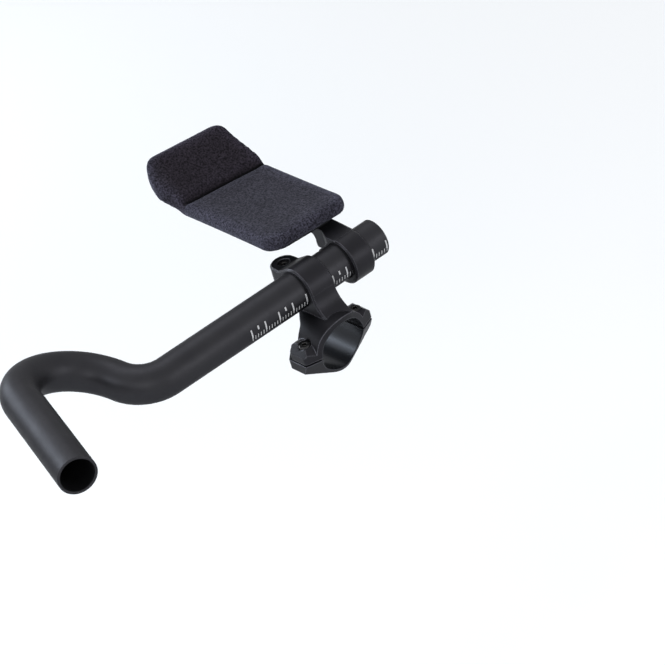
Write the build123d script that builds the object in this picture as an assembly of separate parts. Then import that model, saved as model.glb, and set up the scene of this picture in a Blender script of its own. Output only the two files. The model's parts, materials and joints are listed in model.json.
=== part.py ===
"""Aero handlebar extension: a bent tube in a two-part clamp, with a padded armrest.

Frame: origin at the middle of the handlebar bore, +X inboard along the handlebar,
-Y forward, +Z up. All sizes are in millimetres.
"""
import os
from math import acos, atan2, cos, radians, sin, sqrt, tan

from build123d import *

# Standard sizes that the part is made for
HANDLEBAR_D = 31.8
TUBE_D = 22.2

# Extension tube: straight with the scale, bend outwards, bend back inwards, grip end
TUBE_WALL = 1.6
TUBE_OUT = 16.0
TUBE_UP = 31.5
TUBE_REAR = 55.2
TUBE_STRAIGHT = 153.2
BEND_OUT_R = 22.5
BEND_OUT_ANGLE = 73.7
BEND_OUT_RISE = 15.7
BEND_IN_R = 33.9
BEND_IN_ANGLE = 145.9
BEND_IN_TILT = 8.1
GRIP_LENGTH = 79.5
TUBE_EDGE = 0.4

# Clearances
RUN_CLEAR = 0.05
BOLT_CLEAR = 0.25
THREAD_CLEAR = 0.05
POCKET_CLEAR = 0.25

# Bolts (4 mm thread)
BOLT_D = 4.0
HEAD_D = 7.0
HEAD_H = 2.8
LOW_HEAD_H = 2.8
HEX_AF = 3.0
HEX_DEPTH = 1.8
SCREW_HEAD_D = 8.0
SCREW_RIM = 0.4
SCREW_LENGTH = 9.0

# Handlebar clamp
BAR_WALL = 3.4
SPLIT_GAP = 1.6
FLANGE_REACH = 26.2
BOLT_REACH = 19.6
REAR_BOLT_OUT = 2.0
FLANGE_TIP_H = 4.8
FLANGE_TOP = 9.8
FLANGE_SLOPE = 5.0
FLANGE_SEAT = 6.4
CROWN_R = 12.5
CROWN_OUT = 2.0
CAP_TIP_H = 6.5
CAP_WALL = 2.2
CAP_DRAFT = 28.0
CAP_EXTRA = 2.5
CAP_BOLT_LENGTH = 12.0
CLAMP_IN = 14.6
CLAMP_OUT = 25.0
TIP_IN = 6.2
TIP_OUT = 7.2
REAR_TIP_SHIFT = 3.5
WAIST_OUT = 9.5
WAIST_REACH = 13.0
WAIST_R = 5.0
CLAMP_RIDGE_R = 25.0

# Ring round the tube, its pinch ears and the neck
RING_WALL = 2.9
RING_SHIFT_IN = 0.6
RING_SHIFT_DOWN = 0.7
RING_FRONT = -5.3
RING_WIDTH = 17.0
RING_BEVEL = 0.9
NECK_FRONT_R = 10.0
NECK_REAR_R = 3.0
NECK_FOOT = 9.5
NECK_SHOULDER = 10.0
EAR_SLOT = 1.6
EAR_UP = 7.6
EAR_DOWN = 7.6
EAR_BOLT = 18.6
EAR_TIP_R = 8.0
EAR_SEAT = 3.6
EAR_RIM = 0.8
EAR_BLEND_R = 5.0

# Armrest bracket
BRACKET_FRONT = 27.2
BRACKET_WIDTH = 14.2
BRACKET_RISE = 0.55
BRACKET_EAR = 22.5
BRACKET_BOLT = 17.2
BRACKET_EAR_DOWN = 8.4
ARM_THICK = 5.0
ARM_ROOT_R = 4.0
ARM_TIP = 2.0
EAR_BACK = 3.0
EAR_CORNER_R = 1.5
PLATFORM_R = 8.0
FLARE_R = 6.0
ARM_REACH = 78.0
ARM_FLARE = 54.0
PLATFORM_FRONT = 10.0
PLATFORM_REAR = 43.0
SCREW_IN = 14.0
SCREW_PITCH = 18.0

# Armrest plate and pad, laid out from the fold line between base and wall
REST_FRONT = -5.0
REST_REAR = 51.0
REST_IN = -28.0
REST_IN_YAW = 4.0
FOLD_X = -112.0
FOLD_YAW = 8.6
WALL_SWEEP = 6.5
FRONT_RUN = 0.33
REAR_RUN = 0.58
SWEEP_FRONT_R = 6.0
SWEEP_REAR_R = 15.0
WALL_ANGLE = 40.0
PLATE_THICK = 3.0
PLATE_BEND_R = 11.0
PLATE_WALL = 34.0
PLATE_INSET = 6.0
PATCH_THICK = 1.0
PAD_THICK = 8.0
PAD_WALL_THICK = 8.5
PAD_OVER = 5.0
PAD_EDGE_R = 3.0
CREASE_DEPTH = 2.4
CREASE_WIDTH = 5.0
CORNER_IN_R = 9.0
CORNER_FRONT = 0.8
CORNER_REAR = 0.6

# Derived values
BORE_R = HANDLEBAR_D / 2
BARREL_R = BORE_R + BAR_WALL
TUBE_R = TUBE_D / 2
TUBE_BORE_R = TUBE_R - TUBE_WALL
SLEEVE_R = TUBE_R + RUN_CLEAR
RING_R = SLEEVE_R + RING_WALL
RING_REAR = RING_FRONT + RING_WIDTH
RING_MID = RING_FRONT + RING_WIDTH / 2
TUBE_X = -TUBE_OUT
SPLIT = SPLIT_GAP / 2
POCKET_R = HEAD_D / 2 + POCKET_CLEAR
HOLE_R = BOLT_D / 2 + BOLT_CLEAR
TAP_R = BOLT_D / 2 + THREAD_CLEAR
BRACKET_REAR = BRACKET_FRONT + BRACKET_WIDTH
BRACKET_MID = BRACKET_FRONT + BRACKET_WIDTH / 2
EAR_MID = (BRACKET_FRONT + EAR_BACK + BRACKET_REAR) / 2
ARM_TOP = TUBE_UP + RING_R + BRACKET_RISE
PLATFORM_MID = (PLATFORM_FRONT + PLATFORM_REAR) / 2
WALL_TURN = radians(WALL_ANGLE)
REST_LENGTH = REST_REAR - REST_FRONT
FOLD_Y = (REST_FRONT + REST_REAR) / 2
BASE_WIDTH = REST_IN - FOLD_X
BASE_SPAN = BASE_WIDTH + REST_LENGTH / 2
FOLD_START = PLATE_BEND_R * tan(WALL_TURN / 2)
BLANK = ARM_REACH + TUBE_OUT


def along_y(face, start, end):
    """Extrude a face drawn on the XZ plane between two Y stations."""
    return Pos(0, start, 0) * extrude(face, amount=end - start, dir=(0, 1, 0))


def upright(x, y, low, high, radius):
    """Vertical cylinder between two heights."""
    return Pos(x, y, (low + high) / 2) * Cylinder(radius, high - low)


def bend(point, tangent, side, radius, angle):
    """Arc that leaves point along tangent and turns towards side."""
    turn = radians(angle)
    centre = point + side * radius
    middle = centre - side * (radius * cos(turn / 2)) + tangent * (radius * sin(turn / 2))
    end = centre - side * (radius * cos(turn)) + tangent * (radius * sin(turn))
    leave = tangent * cos(turn) + side * sin(turn)
    return ThreePointArc(point, middle, end), end, leave


def extension_tube():
    """Bent tube, open at both ends."""
    forward = Vector(0, -1, 0)
    start = Vector(TUBE_X, TUBE_REAR, TUBE_UP)
    first = start + forward * TUBE_STRAIGHT
    rise = radians(BEND_OUT_RISE)
    outward = Vector(-cos(rise), 0, sin(rise))
    arc_out, second, heading = bend(first, forward, outward, BEND_OUT_R, BEND_OUT_ANGLE)
    turn_axis = Axis((0, 0, 0), forward.cross(outward))
    inward = Vector(1, 0, 0).rotate(turn_axis, BEND_OUT_ANGLE)
    upward = Vector(0, 0, 1).rotate(turn_axis, BEND_OUT_ANGLE)
    tilt = radians(BEND_IN_TILT)
    back = inward * cos(tilt) + upward * sin(tilt)
    back = (back - heading * back.dot(heading)).normalized()
    arc_in, third, leave = bend(second, heading, back, BEND_IN_R, BEND_IN_ANGLE)
    tip = third + leave * GRIP_LENGTH
    path = Wire([Line(start, first).edge(), arc_out.edge(), arc_in.edge(), Line(third, tip).edge()])
    section = Plane(origin=start, z_dir=forward) * (Circle(TUBE_R) - Circle(TUBE_BORE_R))
    tube = sweep(section, path=path)
    rims = [e for e in tube.edges() if e.geom_type == GeomType.CIRCLE and e.is_closed]
    rims = [e for e in rims if min((e.arc_center - start).length, (e.arc_center - tip).length) < 0.01]
    return chamfer(rims, TUBE_EDGE)


def clamp_plan(out_tip, waist):
    """Outline of the handlebar clamp from above: wide in the middle, narrow at the tips."""
    outline = Polyline(
        (TIP_IN, -FLANGE_REACH),
        (CLAMP_IN, 0),
        (TIP_IN - REAR_TIP_SHIFT, FLANGE_REACH),
        (-out_tip, FLANGE_REACH),
        (-CLAMP_OUT, WAIST_REACH),
        (-CLAMP_OUT, 0),
        (-waist, -WAIST_REACH),
        (-out_tip, -FLANGE_REACH),
        close=True,
    )
    face = make_face(outline)
    ridge = [v for v in face.vertices() if v.X > CLAMP_IN - 0.01]
    face = fillet(ridge, CLAMP_RIDGE_R)
    bends = [v for v in face.vertices() if v.X < 0.01 - waist and abs(v.Y) < WAIST_REACH + 0.01]
    face = fillet(bends, WAIST_R)
    tips = [v for v in face.vertices() if abs(v.Y) > FLANGE_REACH - 0.01]
    return fillet(tips, 1.8)


def cap_draft_plan():
    """Outline whose inboard side, drafted, gives the cap's slanting end faces."""
    lean_front = (CLAMP_IN - TIP_IN) / FLANGE_REACH
    lean_rear = (CLAMP_IN - TIP_IN + REAR_TIP_SHIFT) / FLANGE_REACH
    far = FLANGE_REACH * 2
    outline = Polyline(
        (CLAMP_IN - lean_front * far, -far),
        (CLAMP_IN, 0),
        (CLAMP_IN - lean_rear * far, far),
        (-BLANK, far),
        (-BLANK, -far),
        close=True,
    )
    face = make_face(outline)
    return fillet([v for v in face.vertices() if v.X > CLAMP_IN - 0.01], CLAMP_RIDGE_R)


def barrel_half():
    """Upper half of the handlebar barrel with its two flanges."""
    flange = Polyline(
        (-FLANGE_REACH, 0),
        (-FLANGE_REACH, FLANGE_TIP_H),
        (-FLANGE_REACH + FLANGE_SLOPE, FLANGE_TOP),
        (FLANGE_REACH - FLANGE_SLOPE, FLANGE_TOP),
        (FLANGE_REACH, FLANGE_TIP_H),
        (FLANGE_REACH, 0),
        close=True,
    )
    crown = Plane.XZ * Pos(-CROWN_OUT, FLANGE_TOP - CROWN_R) * Circle(CROWN_R)
    block = extrude(Plane.YZ * make_face(flange), amount=BLANK / 2, both=True)
    block &= along_y(crown, -BLANK, BLANK)
    block += extrude(Plane.YZ * Circle(BARREL_R), amount=BLANK / 2, both=True)
    block &= Pos(0, 0, SPLIT + BLANK / 2) * Box(BLANK, BLANK, BLANK)
    return block & extrude(clamp_plan(TIP_OUT, WAIST_OUT), amount=BLANK)


def neck():
    """Neck between barrel and ring: concave in front, flaring inboard at its foot."""
    front = RING_FRONT
    rear = RING_REAR - RING_BEVEL
    bow = sqrt(0.5)
    front_centre = (front - NECK_FRONT_R, NECK_FOOT + NECK_FRONT_R)
    rear_centre = (rear + NECK_REAR_R, NECK_FOOT + NECK_REAR_R)
    front_mid = (front_centre[0] + NECK_FRONT_R * bow, front_centre[1] - NECK_FRONT_R * bow)
    rear_mid = (rear_centre[0] - NECK_REAR_R * bow, rear_centre[1] - NECK_REAR_R * bow)
    low = SPLIT + 2
    side = Line((front, TUBE_UP), (front, front_centre[1]))
    side += ThreePointArc((front, front_centre[1]), front_mid, (front_centre[0], NECK_FOOT))
    side += Line((front_centre[0], NECK_FOOT), (front_centre[0], low))
    side += Line((front_centre[0], low), (rear_centre[0], low))
    side += Line((rear_centre[0], low), (rear_centre[0], NECK_FOOT))
    side += ThreePointArc((rear_centre[0], NECK_FOOT), rear_mid, (rear, rear_centre[1]))
    side += Line((rear, rear_centre[1]), (rear, TUBE_UP))
    side += Line((rear, TUBE_UP), (front, TUBE_UP))
    across = extrude(Plane.YZ * make_face(side), amount=BLANK, both=True)
    top_in = (TUBE_X + RING_SHIFT_IN + RING_R, TUBE_UP)
    foot_in = (NECK_SHOULDER, BARREL_R * 0.88)
    edge_in = (NECK_SHOULDER, BARREL_R * 0.5)
    top_out = (TUBE_X - RING_R * 0.92, TUBE_UP - RING_R * 0.4)
    foot_out = (0.4 - WAIST_OUT, NECK_FOOT * 0.8)
    mid_out = ((top_out[0] + foot_out[0]) / 2 + 1.6, (top_out[1] + foot_out[1]) / 2 + 1.2)
    wide = TangentArc(top_in, foot_in, tangent=(0, -1))
    wide += Line(foot_in, edge_in)
    wide += Line(edge_in, (edge_in[0], low))
    wide += Line((edge_in[0], low), (foot_out[0], low))
    wide += Line((foot_out[0], low), foot_out)
    wide += ThreePointArc(foot_out, mid_out, top_out)
    wide += Line(top_out, (TUBE_X, TUBE_UP))
    wide += Line((TUBE_X, TUBE_UP), top_in)
    blank = across & along_y(Plane.XZ * make_face(wide), -BLANK, BLANK)
    flank = [e for e in blank.edges() if is_neck_ridge(e)]
    return chamfer(flank, RING_BEVEL) & extrude(cap_draft_plan(), amount=BLANK)


def is_neck_ridge(edge):
    """Whether an edge runs down the front of the neck on its inboard side."""
    place = edge.center()
    size = edge.bounding_box().size
    above = edge.bounding_box().max.Z > BARREL_R
    return above and size.Z > 1 and place.X > TUBE_X + RING_R / 2 and place.Y < RING_FRONT + 0.01


def ring_tangent(point):
    """Where a line from a point outboard of the ring touches the ring's top, seen from the front."""
    across = point[0] - RING_SHIFT_IN
    up = point[1] + RING_SHIFT_DOWN
    away = sqrt(across**2 + up**2)
    turn = atan2(up, across) - acos(RING_R / away)
    return (RING_SHIFT_IN + RING_R * cos(turn), RING_R * sin(turn) - RING_SHIFT_DOWN)


def clamp_ears():
    """Pinch ears outboard of the ring, with a rounded tip."""
    tip = EAR_BOLT + EAR_TIP_R
    foot = (POCKET_R - EAR_BOLT + EAR_RIM, EAR_UP)
    slope = ring_tangent(foot)
    corners = [(0, 0), slope, foot, (-tip, EAR_UP), (-tip, -EAR_DOWN), (0, -EAR_DOWN)]
    front = make_face(Polyline(*corners, close=True))
    front = fillet([v for v in front.vertices() if (Vector(*tuple(v)) - Vector(*foot)).length < 0.01], EAR_BLEND_R)
    block = along_y(Plane.XZ * Pos(TUBE_X, TUBE_UP) * front, -BLANK, BLANK)
    tip_circle = Pos(TUBE_X - EAR_BOLT, RING_MID) * Circle(EAR_TIP_R)
    ring_side = Pos(TUBE_X - RING_R / 4, RING_MID) * Rectangle(RING_R / 2, RING_WIDTH)
    plan = make_hull(tip_circle.edges() + ring_side.edges())
    ears = block & extrude(plan, amount=BLANK)
    flat = [f for f in ears.faces() if abs(f.center().Z - TUBE_UP - EAR_UP) < 0.01]
    outline = [e for e in flat[0].edges() if e.bounding_box().size.X > 0.5]
    return chamfer(outline, RING_BEVEL)


def clamp_body():
    """Ring, ears, neck and upper half of the handlebar clamp in one piece."""
    ring = bevelled_ring(RING_FRONT, RING_REAR)
    body = barrel_half() + neck() + ring + clamp_ears()
    body -= Rot(0, 90, 0) * Cylinder(BORE_R, BLANK)
    body -= along_y(tube_face(SLEEVE_R), -BLANK, BLANK)
    body -= Pos(TUBE_X - BLANK / 2, RING_MID, TUBE_UP) * Box(BLANK, BLANK, EAR_SLOT)
    ear_x = TUBE_X - EAR_BOLT
    body -= upright(ear_x, RING_MID, TUBE_UP + EAR_SEAT, TUBE_UP + BLANK, POCKET_R)
    body -= upright(ear_x, RING_MID, TUBE_UP, TUBE_UP + EAR_SEAT, HOLE_R)
    body -= upright(ear_x, RING_MID, TUBE_UP - 2 * EAR_DOWN, TUBE_UP, TAP_R)
    for x, y in cap_bolt_places():
        body -= upright(x, y, FLANGE_SEAT, TUBE_UP, POCKET_R)
        body -= upright(x, y, 0, FLANGE_SEAT, HOLE_R)
    return body


def cap_bolt_places():
    """Plan positions of the front and the rear clamp bolt."""
    return [(0, -BOLT_REACH), (-REAR_BOLT_OUT, BOLT_REACH)]


def tube_face(radius):
    """Disc on the XZ plane, centred on the tube axis."""
    return Plane.XZ * Pos(TUBE_X, TUBE_UP) * Circle(radius)


def bevelled_ring(front, rear):
    """Solid ring blank round the tube axis with bevelled rims."""
    ring = Pos(RING_SHIFT_IN, 0, -RING_SHIFT_DOWN) * along_y(tube_face(RING_R), front, rear)
    return chamfer(ring.edges().filter_by(GeomType.CIRCLE), RING_BEVEL)


def clamp_cap():
    """Lower half of the handlebar clamp, drafted towards its bottom."""
    corners = [(y, -CAP_TIP_H) for y in (-FLANGE_REACH, FLANGE_REACH)]
    base = Line(corners[0], corners[1])
    hull = make_hull(Circle(BORE_R + CAP_WALL).edges() + base.edges())
    hull += Pos(0, -CAP_TIP_H / 2) * Rectangle(2 * FLANGE_REACH, CAP_TIP_H)
    hull &= Pos(0, -SPLIT - BLANK / 2) * Rectangle(BLANK, BLANK)
    block = extrude(Plane.YZ * hull, amount=BLANK / 2, both=True)
    depth = BARREL_R + 2
    cap = block & extrude(clamp_plan(TIP_OUT + CAP_EXTRA, CLAMP_OUT - 2), amount=-depth)
    cap &= extrude(cap_draft_plan(), amount=depth, dir=(0, 0, -1), taper=CAP_DRAFT)
    cap -= Rot(0, 90, 0) * Cylinder(BORE_R, BLANK)
    for x, y in cap_bolt_places():
        cap -= upright(x, y, -BLANK, 0, TAP_R)
    return cap


def socket_bolt(length, head_h):
    """Socket-head bolt along -Z, its seat at z = 0."""
    head = Pos(0, 0, head_h / 2) * Cylinder(HEAD_D / 2, head_h)
    head = chamfer(head.edges().filter_by(GeomType.CIRCLE).group_by(Axis.Z)[-1], 0.5)
    socket = extrude(RegularPolygon(HEX_AF / 2, 6, major_radius=False), amount=HEX_DEPTH)
    head -= Pos(0, 0, head_h - HEX_DEPTH) * socket
    shank = Pos(0, 0, -length / 2) * Cylinder(BOLT_D / 2, length)
    shank = chamfer(shank.edges().filter_by(GeomType.CIRCLE).group_by(Axis.Z)[0], 0.6)
    return head + shank


def countersunk_screw():
    """Countersunk screw along -Z, its head flush at z = 0."""
    drop = (SCREW_HEAD_D - BOLT_D) / 2
    rim = Pos(0, 0, -SCREW_RIM / 2) * Cylinder(SCREW_HEAD_D / 2, SCREW_RIM)
    cone = Pos(0, 0, -SCREW_RIM - drop / 2) * Cone(BOLT_D / 2, SCREW_HEAD_D / 2, drop)
    shank = Pos(0, 0, -SCREW_LENGTH / 2) * Cylinder(BOLT_D / 2, SCREW_LENGTH)
    screw = rim + cone + shank
    socket = extrude(RegularPolygon(HEX_AF / 2 - 0.5, 6, major_radius=False), amount=HEX_DEPTH)
    return screw - Pos(0, 0, -HEX_DEPTH) * socket


def screw_recess():
    """Space that a countersunk screw takes in the plate, with its clearance."""
    drop = (SCREW_HEAD_D - BOLT_D) / 2
    rim = Pos(0, 0, -SCREW_RIM / 2) * Cylinder(SCREW_HEAD_D / 2 + THREAD_CLEAR, SCREW_RIM)
    cone_top = SCREW_HEAD_D / 2 + THREAD_CLEAR
    cone = Pos(0, 0, -SCREW_RIM - drop / 2) * Cone(cone_top - drop, cone_top, drop)
    return rim + cone + Pos(0, 0, -PLATE_THICK) * Cylinder(HOLE_R, 2 * PLATE_THICK)


def screw_places():
    """Middles of the two plate screws."""
    x = TUBE_X - ARM_REACH + SCREW_IN
    return [(x, PLATFORM_MID - SCREW_PITCH / 2), (x, PLATFORM_MID + SCREW_PITCH / 2)]


def bracket_profile():
    """Front view of the bracket's arm and ears, from the tube's axis: its top runs down onto the ring."""
    top = ARM_TOP - TUBE_UP
    under = top - ARM_THICK
    low = -BRACKET_EAR_DOWN
    foot = BRACKET_EAR + ARM_ROOT_R
    slope_out = TUBE_X - REST_IN + PLATE_INSET
    ring_top = (RING_SHIFT_IN, RING_R - RING_SHIFT_DOWN)
    line = Line(ring_top, (-slope_out, top))
    line += Line((-slope_out, top), (-ARM_REACH, top))
    line += Line((-ARM_REACH, top), (-ARM_REACH, under + ARM_TIP))
    line += Line((-ARM_REACH, under + ARM_TIP), (-ARM_REACH + 2 * ARM_TIP, under))
    line += Line((-ARM_REACH + 2 * ARM_TIP, under), (-foot, under))
    line += TangentArc((-foot, under), (-BRACKET_EAR, under - ARM_ROOT_R), tangent=(1, 0))
    line += Line((-BRACKET_EAR, under - ARM_ROOT_R), (-BRACKET_EAR, low))
    line += Line((-BRACKET_EAR, low), (-RING_R / 2, low))
    line += Line((-RING_R / 2, low), (0, 0))
    line += Line((0, 0), ring_top)
    return make_face(line)


def bracket_plan():
    """Bracket from above: the ears stand back from the ring's front, the arm flares into the platform."""
    neck = BRACKET_FRONT + EAR_BACK
    outline = Polyline(
        (TUBE_X, BRACKET_FRONT),
        (TUBE_X - RING_R / 2, BRACKET_FRONT),
        (TUBE_X - RING_R, neck),
        (TUBE_X - BRACKET_EAR - ARM_ROOT_R, neck),
        (TUBE_X - ARM_FLARE, PLATFORM_FRONT),
        (TUBE_X - ARM_REACH, PLATFORM_FRONT),
        (TUBE_X - ARM_REACH, PLATFORM_REAR),
        (TUBE_X - ARM_FLARE, PLATFORM_REAR),
        (TUBE_X - BRACKET_EAR, BRACKET_REAR),
        (TUBE_X, BRACKET_REAR),
        close=True,
    )
    plan = make_face(outline)
    ends = [v for v in plan.vertices() if v.X < TUBE_X - ARM_REACH + 1]
    plan = fillet(ends, PLATFORM_R)
    flares = [v for v in plan.vertices() if TUBE_X - ARM_FLARE - 1 < v.X < TUBE_X - BRACKET_EAR + 1]
    return fillet(flares, FLARE_R)


def armrest_bracket():
    """Ring round the tube with pinch ears and the arm that carries the armrest."""
    block = along_y(Plane.XZ * Pos(TUBE_X, TUBE_UP) * bracket_profile(), -BLANK, BLANK)
    arm = block & extrude(bracket_plan(), amount=BLANK)
    slot = Pos(TUBE_X - BRACKET_EAR, BRACKET_MID, TUBE_UP) * Box(2 * BRACKET_EAR, BRACKET_WIDTH + 1, EAR_SLOT)
    arm -= slot
    tips = [e for e in arm.edges().filter_by(Axis.Y) if abs(e.center().X - TUBE_X + BRACKET_EAR) < 0.01]
    tips = [e for e in tips if e.center().Z < TUBE_UP + EAR_SLOT]
    arm = fillet(tips, EAR_CORNER_R)
    body = arm + (bevelled_ring(BRACKET_FRONT, BRACKET_REAR) - slot)
    body -= along_y(tube_face(SLEEVE_R), -BLANK, BLANK)
    bolt_x = TUBE_X - BRACKET_BOLT
    seat = TUBE_UP - BRACKET_EAR_DOWN + LOW_HEAD_H
    body -= upright(bolt_x, EAR_MID, seat - BLANK, seat, POCKET_R)
    body -= upright(bolt_x, EAR_MID, seat, TUBE_UP, HOLE_R)
    body -= upright(bolt_x, EAR_MID, TUBE_UP, ARM_TOP - ARM_THICK / 2, TAP_R)
    for x, y in screw_places():
        body -= upright(x, y, TUBE_UP, ARM_TOP + 1, TAP_R)
    return body


def on_bend(radius, angle):
    """Point on the fold, at a radius from the fold's axis, in the fold frame."""
    return (FOLD_START - radius * sin(angle), PLATE_BEND_R - radius * cos(angle))


def up_wall(point, length):
    """Point further up the wall."""
    return (point[0] - length * cos(WALL_TURN), point[1] + length * sin(WALL_TURN))


def plate_section():
    """Cross-section of the plate: base along +X, wall up towards -X."""
    width = BASE_SPAN
    inner = PLATE_BEND_R - PLATE_THICK
    run = PLATE_WALL - FOLD_START
    out_foot = on_bend(PLATE_BEND_R, WALL_TURN)
    in_foot = on_bend(inner, WALL_TURN)
    line = Line((width, 0), (FOLD_START, 0))
    line += ThreePointArc((FOLD_START, 0), on_bend(PLATE_BEND_R, WALL_TURN / 2), out_foot)
    line += Line(out_foot, up_wall(out_foot, run))
    line += Line(up_wall(out_foot, run), up_wall(in_foot, run))
    line += Line(up_wall(in_foot, run), in_foot)
    line += ThreePointArc(in_foot, on_bend(inner, WALL_TURN / 2), (FOLD_START, PLATE_THICK))
    line += Line((FOLD_START, PLATE_THICK), (width, PLATE_THICK))
    line += Line((width, PLATE_THICK), (width, 0))
    face = make_face(line)
    tops = [v for v in face.vertices() if v.Y > PLATE_BEND_R]
    return fillet(tops, PLATE_THICK * 0.45)


def pad_lines():
    """Feet of the pad's wall on its outside and its inside, and the inner corner, in the fold frame."""
    low = PLATE_THICK + PATCH_THICK
    outer = PLATE_BEND_R - low
    out_foot = on_bend(outer, WALL_TURN)
    in_foot = on_bend(outer - PAD_WALL_THICK, WALL_TURN)
    drop = (in_foot[1] - low - PAD_THICK) / sin(WALL_TURN)
    return out_foot, in_foot, up_wall(in_foot, -drop)


def pad_section():
    """Cross-section of the pad: a base, a bend and a wall with a round rim."""
    low = PLATE_THICK + PATCH_THICK
    top = low + PAD_THICK
    out_foot, in_foot, apex = pad_lines()
    run = PLATE_WALL + PAD_OVER - FOLD_START
    middle = on_bend(PLATE_BEND_R - low, WALL_TURN / 2)
    line = Line((BASE_SPAN, low), (FOLD_START, low))
    line += ThreePointArc((FOLD_START, low), middle, out_foot)
    line += Line(out_foot, up_wall(out_foot, run))
    line += Line(up_wall(out_foot, run), up_wall(in_foot, run))
    line += Line(up_wall(in_foot, run), apex)
    line += Line(apex, (BASE_SPAN, top))
    line += Line((BASE_SPAN, top), (BASE_SPAN, low))
    face = make_face(line)
    rims = [v for v in face.vertices() if v.Y > PLATE_WALL / 2]
    return fillet(rims, PAD_EDGE_R)


def crease_cut():
    """Groove along the pad's inner corner, in the part frame."""
    apex = pad_lines()[2]
    half = WALL_TURN / 2
    deep = (apex[0] - CREASE_DEPTH * sin(half), apex[1] - CREASE_DEPTH * cos(half))
    out = (apex[0] + CREASE_WIDTH / 2, apex[1])
    lift = (out[0], out[1] + CREASE_WIDTH)
    wedge = Polyline(deep, out, lift, up_wall(apex, CREASE_WIDTH / 2), close=True)
    return fold_frame(extrude(Plane.XZ * make_face(wedge), amount=BLANK, both=True))


def rest_plan(inset, reach):
    """Outline of the armrest from above: its wall is swept forward, all corners are round."""
    front = REST_FRONT + inset
    rear = REST_REAR - inset
    yaw = radians(FOLD_YAW)
    along = Vector(sin(yaw), cos(yaw), 0)
    outward = Vector(-cos(yaw), sin(yaw), 0)

    def inboard(y):
        return Vector(REST_IN - inset + (y - FOLD_Y) * tan(radians(REST_IN_YAW)), y, 0)

    def fold(y):
        return Vector(FOLD_X + (y - FOLD_Y) * tan(yaw), y, 0)

    def swept(y, distance):
        return fold(y) + outward * distance - along * WALL_SWEEP

    run_front = FRONT_RUN * reach
    run_rear = REAR_RUN * reach
    corners_in = [inboard(front), inboard(rear)]
    corners_out = [swept(rear, reach), swept(front, reach)]
    rear_bends = [fold(rear), swept(rear, run_rear)]
    front_bends = [swept(front, run_front), fold(front)]
    points = corners_in + rear_bends + corners_out + front_bends
    face = make_face(Polyline(*points, close=True))
    rounded = [(corners_in, CORNER_IN_R), (rear_bends, SWEEP_REAR_R), (front_bends, SWEEP_FRONT_R)]
    rounded += [(corners_out[:1], CORNER_REAR * (reach - run_rear))]
    rounded += [(corners_out[1:], CORNER_FRONT * (reach - run_front))]
    for group, radius in rounded:
        near = [v for v in face.vertices() if min((Vector(*tuple(v)) - p).length for p in group) < 0.01]
        face = fillet(near, radius)
    return face


def fold_frame(solid):
    """Move a solid from the fold frame to the part frame."""
    return Pos(FOLD_X, FOLD_Y, ARM_TOP) * Rot(0, 0, -FOLD_YAW) * solid


def wall_plane(origin):
    """Plane of the wall through a point: its X runs up the wall, its normal faces outboard."""
    up = (-cos(WALL_TURN), 0, sin(WALL_TURN))
    return Plane(origin=origin, x_dir=up, z_dir=(-sin(WALL_TURN), 0, -cos(WALL_TURN)))


def folded_sheet(section, inset):
    """Folded sheet trimmed to the armrest's outline, in the part frame."""
    reach = -section.bounding_box().min.X
    sheet = fold_frame(extrude(Plane.XZ * section, amount=BLANK, both=True))
    return sheet & extrude(rest_plan(inset, reach), amount=2 * BLANK)


def armrest_plate():
    """Moulded cup with a flat base and a raised outer wall."""
    plate = folded_sheet(plate_section(), PLATE_INSET)
    for x, y in screw_places():
        plate -= Pos(x, y, ARM_TOP + PLATE_THICK) * screw_recess()
    return plate


def arm_pad():
    """Soft pad with a folded-up outer wall and a crease along the fold."""
    pad = folded_sheet(pad_section(), 0)
    top = ARM_TOP + PLATE_THICK + PATCH_THICK + PAD_THICK
    base = [f for f in pad.faces() if abs(f.center().Z - top) < 0.01][0]
    rim = [e for e in base.edges() if abs(e.center().Y - FOLD_Y) > REST_LENGTH / 4 or e.center().X > REST_IN - 5]
    return fillet(rim, PAD_EDGE_R) - crease_cut()


def base_patch(side):
    """Hook-and-loop strip on the plate's base, in front of or behind the screws."""
    strip = RectangleRounded(BASE_WIDTH * 0.68, REST_LENGTH * 0.18, 2.5)
    place = Pos(FOLD_X + BASE_WIDTH * 0.52, FOLD_Y + side * REST_LENGTH * 0.28, ARM_TOP + PLATE_THICK)
    return place * extrude(strip, amount=PATCH_THICK)


def wall_patch():
    """Hook-and-loop strip on the inner face of the plate's wall."""
    foot = on_bend(PLATE_BEND_R - PLATE_THICK, WALL_TURN)
    plane = wall_plane((foot[0], -WALL_SWEEP * 0.4, foot[1]))
    strip = Pos(PLATE_WALL * 0.36, 0) * RectangleRounded(PLATE_WALL * 0.4, REST_LENGTH * 0.6, 2.5)
    return fold_frame(extrude(plane * strip, amount=-PATCH_THICK))


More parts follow.
